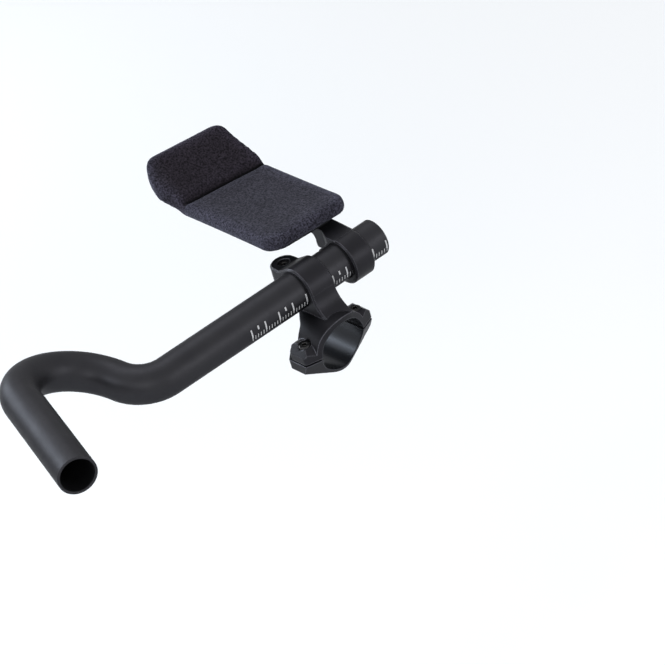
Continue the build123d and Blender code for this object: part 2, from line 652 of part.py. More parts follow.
def main():
    bolt = socket_bolt(CAP_BOLT_LENGTH, HEAD_H)
    pinch_length = EAR_SEAT + EAR_DOWN - 1
    pinch = socket_bolt(pinch_length, LOW_HEAD_H)
    bracket_seat = TUBE_UP - BRACKET_EAR_DOWN + LOW_HEAD_H
    bracket_bolt = Rot(180, 0, 0) * socket_bolt(BRACKET_EAR_DOWN - LOW_HEAD_H + 8, LOW_HEAD_H)
    screw = countersunk_screw()
    front, rear = screw_places()
    cap_front, cap_rear = cap_bolt_places()
    pieces = {
        "extension_tube": extension_tube(),
        "clamp_body": clamp_body(),
        "clamp_cap": clamp_cap(),
        "cap_bolt_front": Pos(*cap_front, FLANGE_SEAT) * bolt,
        "cap_bolt_rear": Pos(*cap_rear, FLANGE_SEAT) * bolt,
        "clamp_pinch_bolt": Pos(TUBE_X - EAR_BOLT, RING_MID, TUBE_UP + EAR_SEAT) * pinch,
        "armrest_bracket": armrest_bracket(),
        "bracket_pinch_bolt": Pos(TUBE_X - BRACKET_BOLT, EAR_MID, bracket_seat) * bracket_bolt,
        "armrest_plate": armrest_plate(),
        "plate_screw_front": Pos(*front, ARM_TOP + PLATE_THICK) * screw,
        "plate_screw_rear": Pos(*rear, ARM_TOP + PLATE_THICK) * screw,
        "arm_pad": arm_pad(),
        "hook_patch_front": base_patch(-1),
        "hook_patch_rear": base_patch(1),
        "hook_patch_wall": wall_patch(),
    }
    os.makedirs("parts", exist_ok=True)
    for name, solid in pieces.items():
        export_step(solid, f"parts/{name}.step")
        box = solid.bounding_box()
        print(name, len(solid.solids()), round(solid.volume), box.min, box.max)


main()
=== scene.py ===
# %% [markdown]
# # An aero handlebar extension, dressed for a studio photograph
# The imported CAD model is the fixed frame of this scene. It has the tube, the clamp, the bracket, the
# plate and the bolts at their real size, so they stay where they are and only get finishes here. The soft
# arm pad and the printed marks are made in this file, because cloth and ink are Blender's work.

# %% Load the frame
import json
import math

import bmesh
import bpy
import numpy as np
from mathutils import Matrix, Vector


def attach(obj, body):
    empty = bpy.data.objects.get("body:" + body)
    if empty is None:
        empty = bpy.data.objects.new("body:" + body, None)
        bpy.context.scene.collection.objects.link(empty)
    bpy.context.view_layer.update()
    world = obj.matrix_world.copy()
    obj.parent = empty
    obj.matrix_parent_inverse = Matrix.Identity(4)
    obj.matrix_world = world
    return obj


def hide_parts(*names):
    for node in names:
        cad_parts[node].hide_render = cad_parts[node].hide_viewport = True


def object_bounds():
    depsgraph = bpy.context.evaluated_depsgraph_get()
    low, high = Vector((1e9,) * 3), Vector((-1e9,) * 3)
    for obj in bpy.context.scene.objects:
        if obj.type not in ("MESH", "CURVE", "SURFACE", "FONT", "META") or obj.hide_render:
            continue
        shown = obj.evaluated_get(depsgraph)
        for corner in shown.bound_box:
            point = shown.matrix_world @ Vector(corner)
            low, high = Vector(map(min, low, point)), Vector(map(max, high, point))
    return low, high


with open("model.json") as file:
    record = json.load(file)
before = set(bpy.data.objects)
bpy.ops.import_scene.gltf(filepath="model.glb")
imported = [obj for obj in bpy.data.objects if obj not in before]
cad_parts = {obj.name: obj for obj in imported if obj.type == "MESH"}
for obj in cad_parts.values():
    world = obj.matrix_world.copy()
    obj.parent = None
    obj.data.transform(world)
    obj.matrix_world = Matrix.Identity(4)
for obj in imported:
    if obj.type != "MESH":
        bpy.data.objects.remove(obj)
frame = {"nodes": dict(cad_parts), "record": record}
cad_low, cad_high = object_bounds()
nodes = frame["nodes"]
scene = bpy.context.scene
MM = 0.001
print("CAD box in mm:", [round(x / MM, 1) for x in cad_high - cad_low], "nodes:", len(nodes))

# %% [markdown]
# ## Camera
# A product photograph like this one is taken with a long lens from a few steps away, so the perspective
# is weak. The camera's place and turn come from matching the tube's edges and the printed scale, which
# has a known spacing. The three rows below are the camera's right, up and backward directions in the
# part's own frame.

# %% Camera
CAMERA_PLACE = Vector((1.28876, -0.78647, 0.95791))
CAMERA_RIGHT = Vector((0.627719, 0.741509, -0.236925))
CAMERA_UP = Vector((-0.291385, 0.506051, 0.811793))
CAMERA_BACK = Vector((0.721848, -0.440541, 0.533722))
FOCAL_PIXELS = 3207.32
IMAGE_PIXELS = 665
SENSOR = 36.0


def add_object(name, data):
    """A new object in the scene."""
    made = bpy.data.objects.new(name, data)
    scene.collection.objects.link(made)
    return made


camera_data = bpy.data.cameras.new("studio_camera")
camera_data.sensor_width = SENSOR
camera_data.lens = SENSOR * FOCAL_PIXELS / IMAGE_PIXELS
camera_data.clip_start = 0.01
camera = add_object("studio_camera", camera_data)
camera_turn = Matrix((CAMERA_RIGHT, CAMERA_UP, CAMERA_BACK)).transposed()
camera.matrix_world = Matrix.Translation(CAMERA_PLACE) @ camera_turn.to_4x4()
scene.camera = camera
scene.view_settings.view_transform = "Standard"
print("lens in mm:", round(camera_data.lens, 2))

# %% [markdown]
# ## Node trees
# The world, the floor and every finish are trees of nodes. A tree can be drawn by hand in the editor, but
# a script builds the same tree each time, and a few short helpers keep it readable. Each one adds a node,
# joins it to what it works on and gives back the socket that the next step needs.

# %% Helpers for node trees


def add_node(tree, kind, **settings):
    """Add a node and set its properties or its inputs by name."""
    made = tree.nodes.new(kind)
    for key, value in settings.items():
        if key in made.inputs:
            made.inputs[key].default_value = value
        else:
            setattr(made, key, value)
    return made


def link(tree, source, target):
    """Join an output socket to an input socket."""
    tree.links.new(source, target)


def object_place(tree):
    """Coordinates in the part's own frame, in metres."""
    return add_node(tree, "ShaderNodeTexCoord").outputs["Object"]


def vector_step(tree, operation, first, second=None):
    """A vector node on a socket and, where it needs one, a fixed vector."""
    made = add_node(tree, "ShaderNodeVectorMath", operation=operation)
    link(tree, first, made.inputs[0])
    if second is not None:
        made.inputs[1].default_value = second
    return made


def spread(tree, factor, low, high, from_low=0.3, from_high=0.7):
    """Map a factor to a range."""
    made = add_node(tree, "ShaderNodeMapRange")
    made.inputs["From Min"].default_value = from_low
    made.inputs["From Max"].default_value = from_high
    made.inputs["To Min"].default_value = low
    made.inputs["To Max"].default_value = high
    link(tree, factor, made.inputs["Value"])
    return made.outputs["Result"]


print("node helpers:", [f.__name__ for f in (add_node, link, object_place, vector_step, spread)])

# %% [markdown]
# ## World
# The background of a studio photograph is pure white, but the light that it throws on the part is much
# weaker than the lamps' light. So the world is white where it is seen directly and dim for scattered
# light.

# %% World
SKY = 0.3
SKY_COLOUR = (0.93, 0.96, 1.0, 1.0)
WHITE = (1.0, 1.0, 1.0, 1.0)


def seen_directly(tree):
    """A factor of 1 for rays from the camera, off gloss or through glass, and 0 for scattered light."""
    path = add_node(tree, "ShaderNodeLightPath")
    factor = path.outputs["Is Camera Ray"]
    for kind in ("Is Glossy Ray", "Is Transmission Ray"):
        larger = add_node(tree, "ShaderNodeMath", operation="MAXIMUM")
        link(tree, factor, larger.inputs[0])
        link(tree, path.outputs[kind], larger.inputs[1])
        factor = larger.outputs[0]
    return factor


def choose(tree, other, seen, end):
    """Give an output one shader for scattered light and another for rays that see it directly."""
    made = add_node(tree, "ShaderNodeMixShader")
    link(tree, seen_directly(tree), made.inputs["Fac"])
    link(tree, other, made.inputs[1])
    link(tree, seen, made.inputs[2])
    link(tree, made.outputs["Shader"], end)


world = bpy.data.worlds.new("studio_world")
world.use_nodes = True
tree = world.node_tree
sky = tree.nodes["Background"]
sky.inputs["Color"].default_value = SKY_COLOUR
sky.inputs["Strength"].default_value = SKY
white = add_node(tree, "ShaderNodeBackground", Color=WHITE, Strength=1.0)
surface = tree.nodes["World Output"].inputs["Surface"]
choose(tree, sky.outputs["Background"], white.outputs["Background"], surface)
scene.world = world
print("world:", world.name)

# %% [markdown]
# ## Floor
# The part hangs from a handlebar in use, so it can't stand by itself. The floor lies well below it and
# only catches a soft shadow. A plain white floor would be grey far from the lamps, so it has a glow of
# its own that rises with the distance from the place under the lamps. It stays just white up to the
# horizon and keeps the shadow.

# %% Floor
FLOOR_DROP = 0.20
FLOOR_HALF = 6.0
FLOOR_COLOUR = (0.80, 0.80, 0.80, 1.0)
FLOOR_GLOW = (0.10, 0.86)
GLOW_REACH = (0.1, 2.0)
LAMP_FOOT = (-0.6, 0.0)

floor_z = cad_low.z - FLOOR_DROP
floor_mesh = bpy.data.meshes.new("floor")
corners = [(-1, -1), (1, -1), (1, 1), (-1, 1)]
floor_mesh.from_pydata([(x * FLOOR_HALF, y * FLOOR_HALF, floor_z) for x, y in corners], [], [(0, 1, 2, 3)])
floor = add_object("floor", floor_mesh)
floor_paint = bpy.data.materials.new("floor_white")
floor_paint.use_nodes = True
tree = floor_paint.node_tree
shader = tree.nodes["Principled BSDF"]
shader.inputs["Base Color"].default_value = FLOOR_COLOUR
shader.inputs["Roughness"].default_value = 0.9
shader.inputs["Specular IOR Level"].default_value = 0.0
from_foot = vector_step(tree, "DISTANCE", object_place(tree), (*LAMP_FOOT, floor_z)).outputs["Value"]
glow = add_node(tree, "ShaderNodeEmission")
link(tree, spread(tree, from_foot, *FLOOR_GLOW, *GLOW_REACH), glow.inputs["Strength"])
both = add_node(tree, "ShaderNodeAddShader")
link(tree, shader.outputs["BSDF"], both.inputs[0])
link(tree, glow.outputs["Emission"], both.inputs[1])
surface = tree.nodes["Material Output"].inputs["Surface"]
choose(tree, shader.outputs["BSDF"], both.outputs["Shader"], surface)
floor_mesh.materials.append(floor_paint)
print("floor in mm below the part:", round(FLOOR_DROP / MM))

# %% [markdown]
# ## Lamps
# Five square lamps give the even light of a studio tent: one overhead, a bluish one from the left that
# draws the long pale streak along the tube, and weaker ones from behind, the front and the right. Large
# lamps close by give soft shadows and broad highlights, which show the bends of a black tube better than
# small hard ones.

# %% Lamps
LAMPS = (  # name, place, edge of the square, watts, colour
    ("overhead", (-0.60, 0.10, 1.20), 0.9, 5.5, (0.96, 0.97, 1.0)),
    ("left_front", (-1.14, -0.36, 0.50), 0.6, 10.0, (0.85, 0.93, 1.0)),
    ("right_back", (1.10, 0.57, 0.34), 0.6, 3.4, (1.0, 1.0, 1.0)),
    ("front", (-0.15, -1.10, 0.72), 0.4, 5.0, (0.92, 0.96, 1.0)),
    ("right_front", (0.90, -0.75, 0.60), 0.5, 2.2, (1.0, 1.0, 1.0)),
)
middle = (cad_low + cad_high) / 2
for name, place, size, power, colour in LAMPS:
    data = bpy.data.lights.new(name, "AREA")
    data.shape = "SQUARE"
    data.size = size
    data.energy = power
    data.color = colour
    lamp = add_object(name, data)
    lamp.location = place
    lamp.rotation_mode = "QUATERNION"
    lamp.rotation_quaternion = (middle - Vector(place)).to_track_quat("-Z", "Y")

# %% [markdown]
# ## Metal finishes
# Each finish reads Object coordinates, which are the part's own frame in metres, so a grain of half a
# millimetre is written as a scale of 2000. The metal parts share one recipe: a dark skin over aluminium
# or steel, whose roughness wanders a little, with a fine grain in the normal. The edges of forged parts
# are painted pale, partly as rubbed wear and partly as a painted highlight, and the angle between the true
# normal and a rounded one finds those edges without painting them by hand. The moulded plate uses the same
# recipe with no metal in it. A Mix node keeps a set of sockets for each kind of value, so the three
# numbers below pick its sockets for colours.

# %% Helpers for colour and grain
MIX_FIRST = 6
MIX_SECOND = 7
MIX_COLOUR = 2


def new_finish(name):
    """A node material with its tree, its shader and its coordinates."""
    made = bpy.data.materials.new(name)
    made.use_nodes = True
    return made, made.node_tree, made.node_tree.nodes["Principled BSDF"], object_place(made.node_tree)


def noise(tree, place, scale, detail=2.0):
    """Noise in the part's frame, as a factor."""
    made = add_node(tree, "ShaderNodeTexNoise", Scale=scale, Detail=detail)
    link(tree, place, made.inputs["Vector"])
    return made.outputs["Fac"]


def two_tone(tree, factor, first, second):
    """Mix two fixed colours by a factor."""
    made = add_node(tree, "ShaderNodeMix", data_type="RGBA")
    made.inputs[MIX_FIRST].default_value = (*first, 1.0)
    made.inputs[MIX_SECOND].default_value = (*second, 1.0)
    link(tree, factor, made.inputs["Factor"])
    return made.outputs[MIX_COLOUR]


def tinted(tree, colour, factor, other, blend="MIX"):
    """A colour that gives way to a fixed one, or is multiplied by it, where a factor is high."""
    made = add_node(tree, "ShaderNodeMix", data_type="RGBA", blend_type=blend)
    link(tree, factor, made.inputs["Factor"])
    link(tree, colour, made.inputs[MIX_FIRST])
    made.inputs[MIX_SECOND].default_value = (*other, 1.0)
    return made.outputs[MIX_COLOUR]


def bumped(tree, height, strength, distance, normal=None):
    """A normal that follows a height."""
    made = add_node(tree, "ShaderNodeBump", Strength=strength, Distance=distance)
    link(tree, height, made.inputs["Height"])
    if normal is not None:
        link(tree, normal, made.inputs["Normal"])
    return made.outputs["Normal"]


print("colour and grain helpers:", [f.__name__ for f in (new_finish, noise, two_tone, tinted, bumped)])

# %% Rubbed edges with a painted highlight
EDGE_LEAN = (0.82, 0.975)
EDGE_SAMPLES = 6


def rubbed_and_highlit_edges(tree, radius):
    """A rounded normal, and how far it leans from the true one: high along edges."""
    rounded = add_node(tree, "ShaderNodeBevel", samples=EDGE_SAMPLES, Radius=radius).outputs["Normal"]
    lean = vector_step(tree, "DOT_PRODUCT", rounded)
    link(tree, add_node(tree, "ShaderNodeNewGeometry").outputs["Normal"], lean.inputs[1])
    return rounded, spread(tree, lean.outputs["Value"], 1.0, 0.0, *EDGE_LEAN)


print("an edge is pale where the cosine of its lean is under", EDGE_LEAN[1])

# %% Metal finishes
MOTTLE_SCALE = 90.0
WANDER_SCALE = 260.0
GRAIN_STRENGTH = 0.12
GRAIN_DEPTH = 0.00008


def dark_metal(name, skin, shade, edge, roughness, grain, edge_radius, metallic, tint):
    """Dark hard finish: skin and shade mottle each other, edge is painted along the corners as rubbed wear
    and a painted highlight.
    """
    made, tree, shader, place = new_finish(name)
    rounded, rubbed_and_highlit = rubbed_and_highlit_edges(tree, edge_radius)
    mottle = spread(tree, noise(tree, place, MOTTLE_SCALE, detail=4.0), 0.0, 1.0)
    body = two_tone(tree, mottle, skin, shade)
    # Pale edges: partly rubbed wear, partly a painted highlight and glint.
    link(tree, tinted(tree, body, rubbed_and_highlit, edge), shader.inputs["Base Color"])
    if roughness is not None:
        wander = noise(tree, place, WANDER_SCALE, detail=3.0)
        link(tree, spread(tree, wander, *roughness), shader.inputs["Roughness"])
    fine = noise(tree, place, grain)
    link(tree, bumped(tree, fine, GRAIN_STRENGTH, GRAIN_DEPTH, rounded), shader.inputs["Normal"])
    shader.inputs["Metallic"].default_value = metallic
    shader.inputs["Specular IOR Level"].default_value = 0.25
    shader.inputs["Specular Tint"].default_value = (tint, tint, tint, 1.0)
    return made


tube_black = dark_metal(
    "tube_black", skin=(0.029, 0.029, 0.033), shade=(0.033, 0.033, 0.037), edge=(0.06, 0.06, 0.065),
    roughness=(0.42, 0.48), grain=5200.0, edge_radius=0.0002, metallic=0.80, tint=0.50)
forged_black = dark_metal(
    "forged_black", skin=(0.018, 0.0178, 0.021), shade=(0.022, 0.0217, 0.026), edge=(0.13, 0.13, 0.15),
    roughness=None, grain=3600.0, edge_radius=0.0010, metallic=0.55, tint=0.50)
bolt_steel = dark_metal(
    "bolt_steel", skin=(0.036, 0.035, 0.037), shade=(0.046, 0.044, 0.045), edge=(0.22, 0.215, 0.21),
    roughness=(0.28, 0.40), grain=4200.0, edge_radius=0.0003, metallic=0.70, tint=0.80)
plate_black = dark_metal(
    "plate_black", skin=(0.012, 0.0125, 0.0135), shade=(0.016, 0.0165, 0.018), edge=(0.03, 0.03, 0.033),
    roughness=(0.42, 0.55), grain=2600.0, edge_radius=0.0004, metallic=0.0, tint=0.80)
print("metal finishes:", tube_black.name, forged_black.name, bolt_steel.name, plate_black.name)

# %% [markdown]
# The bore that grips the handlebar is cut after the forging, so it is a little paler and smoother than
# the rest. Its faces could be picked out and get a material of their own, but the bore's axis is the X
# axis of the part's frame, so the distance from that axis already tells the bore from the forged skin
# round it.

# %% Machined bore
BORE_R = 0.0160
BORE_FADE = 0.0003
BORE_COLOUR = (0.028, 0.030, 0.035)
FORGED_ROUGHNESS = 0.38
BORE_ROUGHNESS = 0.26

tree = forged_black.node_tree
shader = tree.nodes["Principled BSDF"]
flat = vector_step(tree, "MULTIPLY", object_place(tree), (0.0, 1.0, 1.0))
from_axis = vector_step(tree, "LENGTH", flat.outputs[0]).outputs["Value"]
machined = spread(tree, from_axis, 1.0, 0.0, BORE_R, BORE_R + BORE_FADE)
skin = shader.inputs["Base Color"].links[0].from_socket
link(tree, tinted(tree, skin, machined, BORE_COLOUR), shader.inputs["Base Color"])
link(tree, spread(tree, machined, FORGED_ROUGHNESS, BORE_ROUGHNESS, 0.0, 1.0), shader.inputs["Roughness"])
print("machined skin out to mm from the axis:", round(BORE_R / MM, 1))

# %% [markdown]
# ## Cloth finishes
# The pad's cover is a brushed knit over foam. Close up it is a felt of short charcoal fibres with paler
# ends. Strands of hair could show them one by one, but there are far too many for a reusable part. So the
# colour is a fine speckle of two dark tones, and a soft sheen lifts it where the cloth turns away. The
# hook patches under the pad have the same recipe in darker tones.

# %% Brushed cloth
FIBRE_SCALE = 1000.0
FIBRE_RANGE = (0.34, 0.68)
PATCH_SCALE = 60.0
PATCH_LOW = 0.70
NAP_SCALE = 900.0
NAP_STRENGTH = 0.6
NAP_DEPTH = 0.0006
SHEEN_TINT = (0.70, 0.74, 0.95, 1.0)


def times(tree, first, second):
    """Product of two factors."""
    made = add_node(tree, "ShaderNodeMath", operation="MULTIPLY")
    link(tree, first, made.inputs[0])
    link(tree, second, made.inputs[1])
    return made.outputs[0]


def brushed_cloth(name, dark, pale, sheen):
    """Brushed knit: speckle, soft sheen and a nap that shows in the normal."""
    made, tree, shader, place = new_finish(name)
    speckle = spread(tree, noise(tree, place, FIBRE_SCALE), 0.0, 1.0, *FIBRE_RANGE)
    patch = spread(tree, noise(tree, place, PATCH_SCALE), PATCH_LOW, 1.0)
    body = two_tone(tree, times(tree, speckle, patch), dark, pale)
    link(tree, body, shader.inputs["Base Color"])
    nap = noise(tree, place, NAP_SCALE, detail=4.0)
    link(tree, bumped(tree, nap, NAP_STRENGTH, NAP_DEPTH), shader.inputs["Normal"])
    shader.inputs["Roughness"].default_value = 0.95
    shader.inputs["Specular IOR Level"].default_value = 0.12
    shader.inputs["Sheen Weight"].default_value = sheen
    shader.inputs["Sheen Roughness"].default_value = 0.45
    shader.inputs["Sheen Tint"].default_value = SHEEN_TINT
    return made, tree, shader, place, body


pad_cloth, tree, shader, place, body = brushed_cloth(
    "pad_cloth", dark=(0.008, 0.0073, 0.0094), pale=(0.060, 0.056, 0.072), sheen=0.12)
hook_tape = brushed_cloth(
    "hook_tape", dark=(0.008, 0.008, 0.009), pale=(0.022, 0.022, 0.024), sheen=0.05)[0]
print("cloth finishes:", pad_cloth.name, hook_tape.name)

# %% [markdown]
# The cover isn't the same all over, and its differences are painted light. A pale painted sheen lies where
# the pad bulges over an edge, the wall is painted in darker shade, and the faces at the back of the wall
# are painted nearly black as shade. The fold between the base and the wall is sewn tight, and painted
# shade makes it read as one thin black line. The fold is a straight line, so the distance from it tells
# these regions apart, and how far the pad bulges comes from the pad's own mesh, as an attribute that is
# made below.

# %% Where the fold lies
FOLD_POINT = Vector((-0.1067, 0.0222, 0.0581))
FOLD_YAW = math.radians(8.6)
FOLD_ALONG = Vector((math.sin(FOLD_YAW), math.cos(FOLD_YAW), 0.0))
FOLD_ACROSS = Vector((math.cos(FOLD_YAW), -math.sin(FOLD_YAW), 0.0))
SEAM_HALF = 0.0011
SEAM_END = -0.027
SEAM_FADE = 0.005
print("fold at mm:", [round(x / MM, 1) for x in FOLD_POINT])
print("half width of the sewn line in mm:", round(SEAM_HALF / MM, 1))

# %% Regions of the pad's cover, with painted shade and sheen
WALL_FADE = (0.0003, 0.0010)
UNSHADED_SIDE = (0.40, -0.60, 0.69)
BACK_SHADE_FADE = (0.32, 0.52)
WALL_SHADE_TINT = (0.76, 0.67, 0.69)
PAINTED_SHEEN_TINT = (1.6, 1.65, 1.8)
BACK_SHADE_TINT = (0.15, 0.15, 0.15)
FOLD_SHADE_TINT = (0.06, 0.06, 0.06)


def along_axis(tree, place, axis, origin):
    """How far a place lies from an origin along an axis."""
    from_origin = vector_step(tree, "SUBTRACT", place, origin)
    return vector_step(tree, "DOT_PRODUCT", from_origin.outputs[0], axis).outputs["Value"]


across = along_axis(tree, place, FOLD_ACROSS, FOLD_POINT)
along = along_axis(tree, place, FOLD_ALONG, FOLD_POINT)
from_fold = add_node(tree, "ShaderNodeMath", operation="ABSOLUTE")
link(tree, across, from_fold.inputs[0])
# A thin line along the fold, painted nearly black as shade in its groove.
fold_shade = times(tree, spread(tree, from_fold.outputs[0], 1.0, 0.0, SEAM_HALF, 1.5 * SEAM_HALF),
             spread(tree, along, 0.0, 1.0, SEAM_END, SEAM_END + SEAM_FADE))
# The wall's region, which is painted in darker shade.
wall = times(tree, spread(tree, across, 1.0, 0.0, *WALL_FADE),
             spread(tree, along, 0.0, 1.0, SEAM_END - 2 * SEAM_FADE, SEAM_END + SEAM_FADE))
# The pad's bulge, read from its mesh, paints a pale sheen where the cover stands out.
bulge_for_sheen = add_node(tree, "ShaderNodeAttribute", attribute_name="bulge").outputs["Fac"]
cover_normal = add_node(tree, "ShaderNodeTexCoord").outputs["Normal"]
# Faces of the wall that turn away from a set side are painted nearly black as shade.
facing = vector_step(tree, "DOT_PRODUCT", cover_normal, UNSHADED_SIDE).outputs["Value"]
back_shade = times(tree, wall, spread(tree, facing, 1.0, 0.0, *BACK_SHADE_FADE))
# Painted shade on the wall, its back and the fold, and a painted sheen where the pad bulges.
regions = ((wall, WALL_SHADE_TINT), (spread(tree, bulge_for_sheen, 0.0, 1.0, 0.0, 1.0), PAINTED_SHEEN_TINT),
           (back_shade, BACK_SHADE_TINT), (fold_shade, FOLD_SHADE_TINT))
for factor, tint in regions:
    body = tinted(tree, body, factor, tint, "MULTIPLY")
link(tree, body, shader.inputs["Base Color"])
print("nodes in the pad's finish:", len(tree.nodes))

# %% [markdown]
# The scale on the tube is printed in white. The ink is a thin coat that takes a little unevenly, so its
# white wanders between two close tones.

# %% Ink
INK_SCALE = 900.0
INK_THIN = (0.62, 0.63, 0.65)
INK_FULL = (0.80, 0.80, 0.81)

white_ink, tree, shader, place = new_finish("white_ink")
coat = spread(tree, noise(tree, place, INK_SCALE, detail=3.0), 0.0, 1.0)
link(tree, two_tone(tree, coat, INK_THIN, INK_FULL), shader.inputs["Base Color"])
shader.inputs["Roughness"].default_value = 0.5
print("ink:", white_ink.name)

# %% [markdown]
# ## Dress the CAD nodes
# The record names a material slot for each subpart, so one table from slots to finishes dresses them all.

# %% Dress the CAD nodes
FINISH = {"tube_black": tube_black, "forged_black": forged_black, "bolt_steel": bolt_steel,
          "plate_black": plate_black, "pad_fabric": pad_cloth, "hook_tape": hook_tape}
for entry in frame["record"]["subparts"]:
    mesh = nodes[entry["node"]].data
    mesh.materials.clear()
    mesh.materials.append(FINISH[entry["material_slot"]])

# %% [markdown]
# ## The arm pad
# The real pad is a slab of foam in a brushed cover. Its edges are round, its faces are slightly crowned,
# and the cover is pulled in along the fold. The CAD solid has the size and the outline, with hard edges.
# Sculpting would give a soft shape too, but not the same one twice, so a copy of the solid is worked on
# in measured steps. The first step rounds the two corners at the top of the wall, with a cutter for each,
# and remeshes the copy evenly.

# %% Helpers for meshes


def settle(piece):
    """Replace an object's mesh by its evaluated one and drop its modifiers."""
    bpy.context.view_layer.update()
    graph = bpy.context.evaluated_depsgraph_get()
    made = bpy.data.meshes.new_from_object(piece.evaluated_get(graph), depsgraph=graph)
    piece.modifiers.clear()
    piece.data = made


def vertex_rows(mesh, field):
    """A vector of each vertex, such as its place or its normal, as the rows of an array."""
    values = np.empty(len(mesh.vertices) * 3)
    mesh.vertices.foreach_get(field, values)
    return values.reshape(-1, 3)


def points_of(mesh):
    """Vertex places as an array."""
    return vertex_rows(mesh, "co")


def normals_of(mesh):
    """Vertex normals as an array."""
    return vertex_rows(mesh, "normal")


def put_points(mesh, places):
    """Write vertex places from an array."""
    mesh.vertices.foreach_set("co", places.astype(np.float32).ravel())
    mesh.update()


print("mesh helpers:", [f.__name__ for f in (settle, points_of, normals_of, put_points)])

# %% A cutter that leaves a round corner
WALL_UP = Vector((-0.766, 0.116, 0.643)).normalized()
ARC_STEPS = 12
CUTTER_MARGIN = 0.004
CUTTER_HALF = 0.03


def corner_tool(name, tip, inward, radius):
    """A prism that takes a sharp corner off a sheet and leaves a round one."""
    through = WALL_UP.cross(inward).normalized()
    angles = [math.pi / 2 * k / ARC_STEPS for k in range(ARC_STEPS + 1)]
    outline = [(radius * (math.sin(a) - 1), radius * (1 - math.cos(a))) for a in angles]
    outline += [(CUTTER_MARGIN, radius), (CUTTER_MARGIN, -CUTTER_MARGIN), (-radius, -CUTTER_MARGIN)]
    ends = (-CUTTER_HALF, CUTTER_HALF)
    rings = [[tip + WALL_UP * u + inward * v + through * w for u, v in outline] for w in ends]
    count = len(outline)
    faces = [tuple(range(count)), tuple(range(2 * count - 1, count - 1, -1))]
    faces += [(k, count + k, count + (k + 1) % count, (k + 1) % count) for k in range(count)]
    mesh = bpy.data.meshes.new(name)
    mesh.from_pydata([tuple(p) for p in rings[0] + rings[1]], [], faces)
    shell = bmesh.new()
    shell.from_mesh(mesh)
    bmesh.ops.recalc_face_normals(shell, faces=shell.faces)
    shell.to_mesh(mesh)
    shell.free()
    return add_object(name, mesh)


print("cutter:", corner_tool.__name__, "with", ARC_STEPS, "steps round the corner")

# %% Even copy of the pad with round wall corners
VOXEL = 0.0008
WALL_CORNER = 0.009
TOP_BAND = 0.004
MERGE = 1e-6

pad_mesh = nodes["arm_pad"].data.copy()
merged = bmesh.new()
merged.from_mesh(pad_mesh)
bmesh.ops.remove_doubles(merged, verts=merged.verts, dist=MERGE)
merged.to_mesh(pad_mesh)
merged.free()
pad = add_object("soft_pad", pad_mesh)
places = points_of(pad_mesh)
height = places @ np.array(WALL_UP)
top = places[height > height.max() - TOP_BAND]
run = top @ np.array(FOLD_ALONG)
tools = []
for name, side in (("front", 1), ("rear", -1)):
    end = Vector(top[(run * side).argmin()])
    tip = end + WALL_UP * (height.max() - end.dot(WALL_UP))
    tool = corner_tool("corner_" + name, tip, FOLD_ALONG * side, WALL_CORNER)
    pad.modifiers.new(name, "BOOLEAN").object = tool
    tools.append(tool)
remesh = pad.modifiers.new("even", "REMESH")
remesh.mode = "VOXEL"
remesh.voxel_size = VOXEL
settle(pad)
for tool in tools:
    bpy.data.objects.remove(tool)
pad.data.name = "soft_pad"
print("pad points:", len(pad.data.vertices))

# %% [markdown]
# Foam in a cover has no sharp edge. Averaging each point with its neighbours wears the edges round, but
# it also shrinks the pad there. So what each point lost along its normal is measured, smoothed and given
# back.

# %% Wear the edges round
EDGE_PASSES = 26
EDGE_KEEP = 1.5
KEEP_PASSES = 60


def averaged(mesh, values, passes, weight=0.5):
    """Values on the points of a mesh, moved towards the mean of their neighbours."""
    edges = np.empty(len(mesh.edges) * 2, int)
    mesh.edges.foreach_get("vertices", edges)
    first, second = edges.reshape(-1, 2).T
    here, there = np.concatenate([first, second]), np.concatenate([second, first])
    count = np.bincount(here, minlength=len(values))
    values = values.copy()
    for _ in range(passes):
        for column in values.T:
            column += weight * (np.bincount(here, column[there], len(values)) / count - column)
    return values


sharp = points_of(pad.data)
put_points(pad.data, averaged(pad.data, sharp, EDGE_PASSES))
lost = ((sharp - points_of(pad.data)) * normals_of(pad.data)).sum(1, keepdims=True)
given_back = EDGE_KEEP * normals_of(pad.data) * averaged(pad.data, lost, KEEP_PASSES)
put_points(pad.data, points_of(pad.data) + given_back)
print("edges lost at most, in mm:", round(float(lost.max()) / MM, 2))

# %% [markdown]
# A cover that is pulled over foam swells a little between its edges. A short cloth simulation with air
# pressure inside does that. No point may move further than a set cap, so the pad keeps its size.

# %% Fill the pad with air
PAD_FRAMES = 16
PAD_CAP = 0.0016
PAD_PRESSURE = 4.0
CLOTH_QUALITY = 5
SMALLEST = 1e-9
start = points_of(pad.data)
cloth = pad.modifiers.new("foam", "CLOTH")
cloth.settings.quality = CLOTH_QUALITY
cloth.settings.use_pressure = True
cloth.settings.uniform_pressure_force = PAD_PRESSURE
cloth.settings.effector_weights.gravity = 0.0
cloth.point_cache.frame_start = 1
cloth.point_cache.frame_end = PAD_FRAMES
for step in range(1, PAD_FRAMES + 1):
    scene.frame_set(step)
settle(pad)
moved = points_of(pad.data) - start
length = np.linalg.norm(moved, axis=1, keepdims=True)
put_points(pad.data, start + moved * np.minimum(1.0, PAD_CAP / np.maximum(length, SMALLEST)))
scene.frame_set(1)
print("pad moved in mm:", [round(float(value) / MM, 2) for value in (length.mean(), length.max())])

# %% [markdown]
# The stitches pull the cover into the foam along the fold. A groove with a bell-shaped section, only on
# faces that look up, gives the painted shade line of the finish a real edge to lie in. The same step
# measures how far each point stands out from its smoothed surroundings. The cloth finish reads it and
# paints a pale sheen where it is high.

# %% Sew the fold down, and note where the pad bulges for its painted sheen
SEAM_DEPTH = 0.0010
SEAM_DOWN = np.array((0.33, 0.0, 0.94))
UP_FROM = 0.2
UP_FADE = 0.3
STRETCH_PASSES = 90

